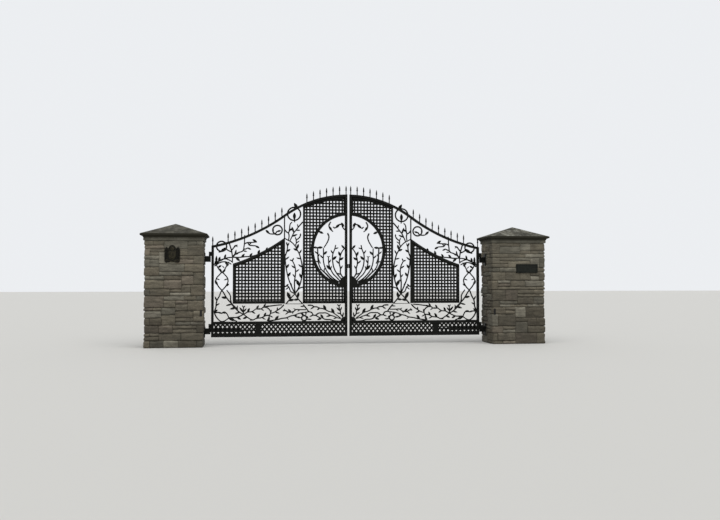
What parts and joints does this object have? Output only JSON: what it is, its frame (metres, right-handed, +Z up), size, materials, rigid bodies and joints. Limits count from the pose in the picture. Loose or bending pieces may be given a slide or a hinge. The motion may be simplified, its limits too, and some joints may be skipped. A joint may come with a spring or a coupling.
{
  "type": "double driveway gate with stone pillars",
  "caption": "Pair of ornamental wrought iron gate leaves with lattice panels, a round vine opening and ram openers, hung between two stone pillars.",
  "frame": {"origin": "centre of the left pillar's base, at ground level", "axes": "+X along the gate from the left pillar to the right one, +Y into the property, +Z up"},
  "size_m": [6.328, 0.72, 2.5156],
  "materials": {
    "iron": "satin black",
    "pillar_stone": "rough warm beige ledge stone",
    "cap_stone": "smooth cast stone",
    "plaque": "dark weathered cast metal",
    "photo_eye": "matt black",
    "ram_paint": "satin black",
    "ram_steel": "bright drawn steel"
  },
  "bodies": {
    "root": {"left_pillar": "pillar_stone", "right_pillar": "pillar_stone", "left_cap": "cap_stone", "right_cap": "cap_stone", "crest_plaque": "plaque", "number_plaque": "plaque", "photo_eyes": "photo_eye", "left_hinge_brackets": "iron", "right_hinge_brackets": "iron", "left_ram_bracket": "iron", "right_ram_bracket": "iron"},
    "left_leaf": {"left_hinge_stile": "iron", "left_meeting_stile": "iron", "left_top_rail": "iron", "left_band_rail": "iron", "left_bottom_rail": "iron", "left_upright": "iron", "left_outer_lattice": "iron", "left_inner_lattice": "iron", "left_half_ring": "iron", "left_band_lattice": "iron", "left_ram_plate": "iron", "left_spears": "iron", "left_corner_vines": "iron", "left_vine_panel": "iron", "left_ring_vines": "iron", "left_band_vines": "iron", "left_knuckles": "iron", "left_latch": "iron"},
    "left_ram": {"left_ram_body": "ram_paint"},
    "left_ram_rod": {"left_ram_rod": "ram_steel"},
    "right_leaf": {"right_hinge_stile": "iron", "right_meeting_stile": "iron", "right_top_rail": "iron", "right_band_rail": "iron", "right_bottom_rail": "iron", "right_upright": "iron", "right_outer_lattice": "iron", "right_inner_lattice": "iron", "right_half_ring": "iron", "right_band_lattice": "iron", "right_ram_plate": "iron", "right_spears": "iron", "right_corner_vines": "iron", "right_vine_panel": "iron", "right_ring_vines": "iron", "right_band_vines": "iron", "right_knuckles": "iron", "right_latch": "iron"},
    "right_ram": {"right_ram_body": "ram_paint"},
    "right_ram_rod": {"right_ram_rod": "ram_steel"}
  },
  "joints": [
    {"name": "left_leaf_hinge", "type": "hinge", "parent": "root", "child": "left_leaf", "pos_m": [0.511, 0.1, 0.264], "axis": [0, 0, 1], "range_deg": [0, 90]},
    {"name": "left_ram_swing", "type": "hinge", "parent": "root", "child": "left_ram", "pos_m": [0.461, 0.25, 0.225], "axis": [0, 0, 1], "range_deg": [0, 98]},
    {"name": "left_ram_slide", "type": "slide", "parent": "left_ram", "child": "left_ram_rod", "axis": [0.995, -0.1001, 0], "range_m": [-0.2042, 0]},
    {"name": "right_leaf_hinge", "type": "hinge", "parent": "root", "child": "right_leaf", "pos_m": [4.837, 0.1, 0.264], "axis": [0, 0, -1], "range_deg": [0, 90]},
    {"name": "right_ram_swing", "type": "hinge", "parent": "root", "child": "right_ram", "pos_m": [4.887, 0.25, 0.225], "axis": [0, 0, -1], "range_deg": [0, 98]},
    {"name": "right_ram_slide", "type": "slide", "parent": "right_ram", "child": "right_ram_rod", "axis": [-0.995, -0.1001, 0], "range_m": [-0.2042, 0]}
  ],
  "couplings": [
    {"joint": "left_ram_swing", "follows": "left_leaf_hinge", "ratio": 1.0852},
    {"joint": "left_ram_slide", "follows": "left_leaf_hinge", "m_per_rad": -0.12967},
    {"joint": "right_ram_swing", "follows": "right_leaf_hinge", "ratio": 1.0852},
    {"joint": "right_ram_slide", "follows": "right_leaf_hinge", "m_per_rad": -0.12967}
  ]
}
